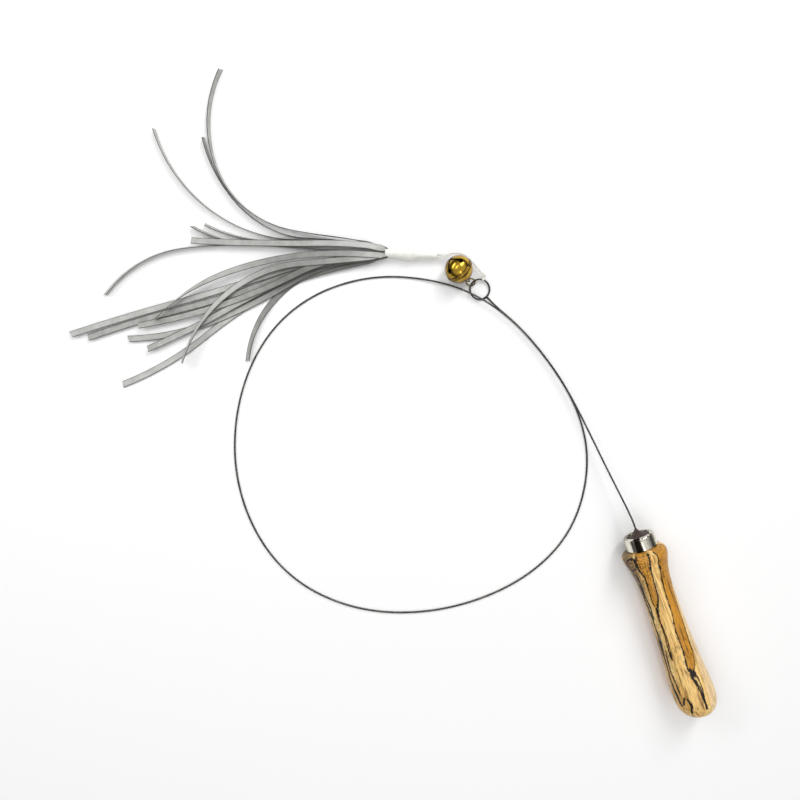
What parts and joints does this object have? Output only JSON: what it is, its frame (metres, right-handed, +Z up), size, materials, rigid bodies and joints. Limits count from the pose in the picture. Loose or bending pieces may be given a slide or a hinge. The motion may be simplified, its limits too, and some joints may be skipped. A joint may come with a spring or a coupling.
{
  "type": "cat teaser wand",
  "caption": "Cat teaser wand: turned wooden handle, bright ferrule, looped springy steel wire with an eye, gold bell, and a corded lure of soft grey strips",
  "frame": {"origin": "the middle of the part's bounds without the free wire and cord, on the surface that it lies on", "axes": "+Z is up from the surface, +Y is the way the wire leaves the handle, along the handle, and the lure lies towards -X and +Y"},
  "size_m": [0.3077, 0.4842, 0.0276],
  "materials": {
    "handle_wood": "satin spalted wood",
    "ferrule_metal": "bright nickel",
    "potting": "dark set potting",
    "glue": "cured glue",
    "wire_steel": "dark twisted steel wire",
    "eye_steel": "dark steel wire",
    "ring_brass": "aged brass wire",
    "bell_gold": "bright gold plate",
    "clapper_steel": "plain steel ball",
    "white_cord": "twisted white cord",
    "white_sleeve": "shrunk white sleeve",
    "grey_strip": "soft matte grey strip",
    "grey_strip_dark": "soft matte grey strip, a little darker",
    "grey_strip_light": "soft matte grey strip, a little lighter"
  },
  "bodies": {
    "wand": {"handle_wood": "handle_wood", "ferrule": "ferrule_metal", "potting_plug": "potting", "adhesive_sleeve": "glue", "wire_tang": "wire_steel", "wire_cable": "wire_steel", "wire_eye": "eye_steel", "cord_loop": "white_cord"},
    "jump_ring": {"jump_ring": "ring_brass"},
    "bell": {"bell_crown": "bell_gold", "bell_cup": "bell_gold", "bell_shank": "ring_brass"},
    "clapper": {"bell_clapper": "clapper_steel"},
    "lure_knot": {"cord_knot": "white_cord"},
    "lure": {"lure_cord": "white_cord", "sleeve_knot": "white_cord", "lure_sleeve": "white_sleeve", "strip_folds": "grey_strip", "strip_01": "grey_strip", "strip_02": "grey_strip_dark", "strip_03": "grey_strip_light", "strip_04": "grey_strip", "strip_05": "grey_strip_dark", "strip_06": "grey_strip_light", "strip_07": "grey_strip", "strip_08": "grey_strip_dark", "strip_09": "grey_strip_light", "strip_10": "grey_strip", "strip_11": "grey_strip_dark", "strip_12": "grey_strip_light", "strip_13": "grey_strip", "strip_14": "grey_strip_dark", "strip_15": "grey_strip_light", "strip_16": "grey_strip"}
  },
  "joints": [
    {"name": "jump_ring_swing", "type": "hinge", "parent": "wand", "child": "jump_ring", "pos_m": [0.09796, 0.05975, 0.00238], "axis": [0.829, 0.5592, 0], "range_deg": [0, 80]},
    {"name": "bell_swing", "type": "hinge", "parent": "jump_ring", "child": "bell", "pos_m": [0.0967, 0.06162, 0.00358], "axis": [0.8829, 0.4695, 0], "range_deg": [-30, 30]},
    {"name": "clapper_roll", "type": "hinge", "parent": "bell", "child": "clapper", "pos_m": [0.09222, 0.07004, 0.00875], "axis": [0.8829, 0.4695, 0], "range_deg": [-35, 60]},
    {"name": "lure_swing", "type": "hinge", "parent": "wand", "child": "lure_knot", "pos_m": [0.1071, 0.06167, 0.00177], "axis": [0, 0, -1], "range_deg": [0, 100]},
    {"name": "lure_lift", "type": "hinge", "parent": "lure_knot", "child": "lure", "pos_m": [0.1071, 0.06167, 0.00177], "axis": [0.342, 0.9397, 0], "range_deg": [0, 80]}
  ]
}
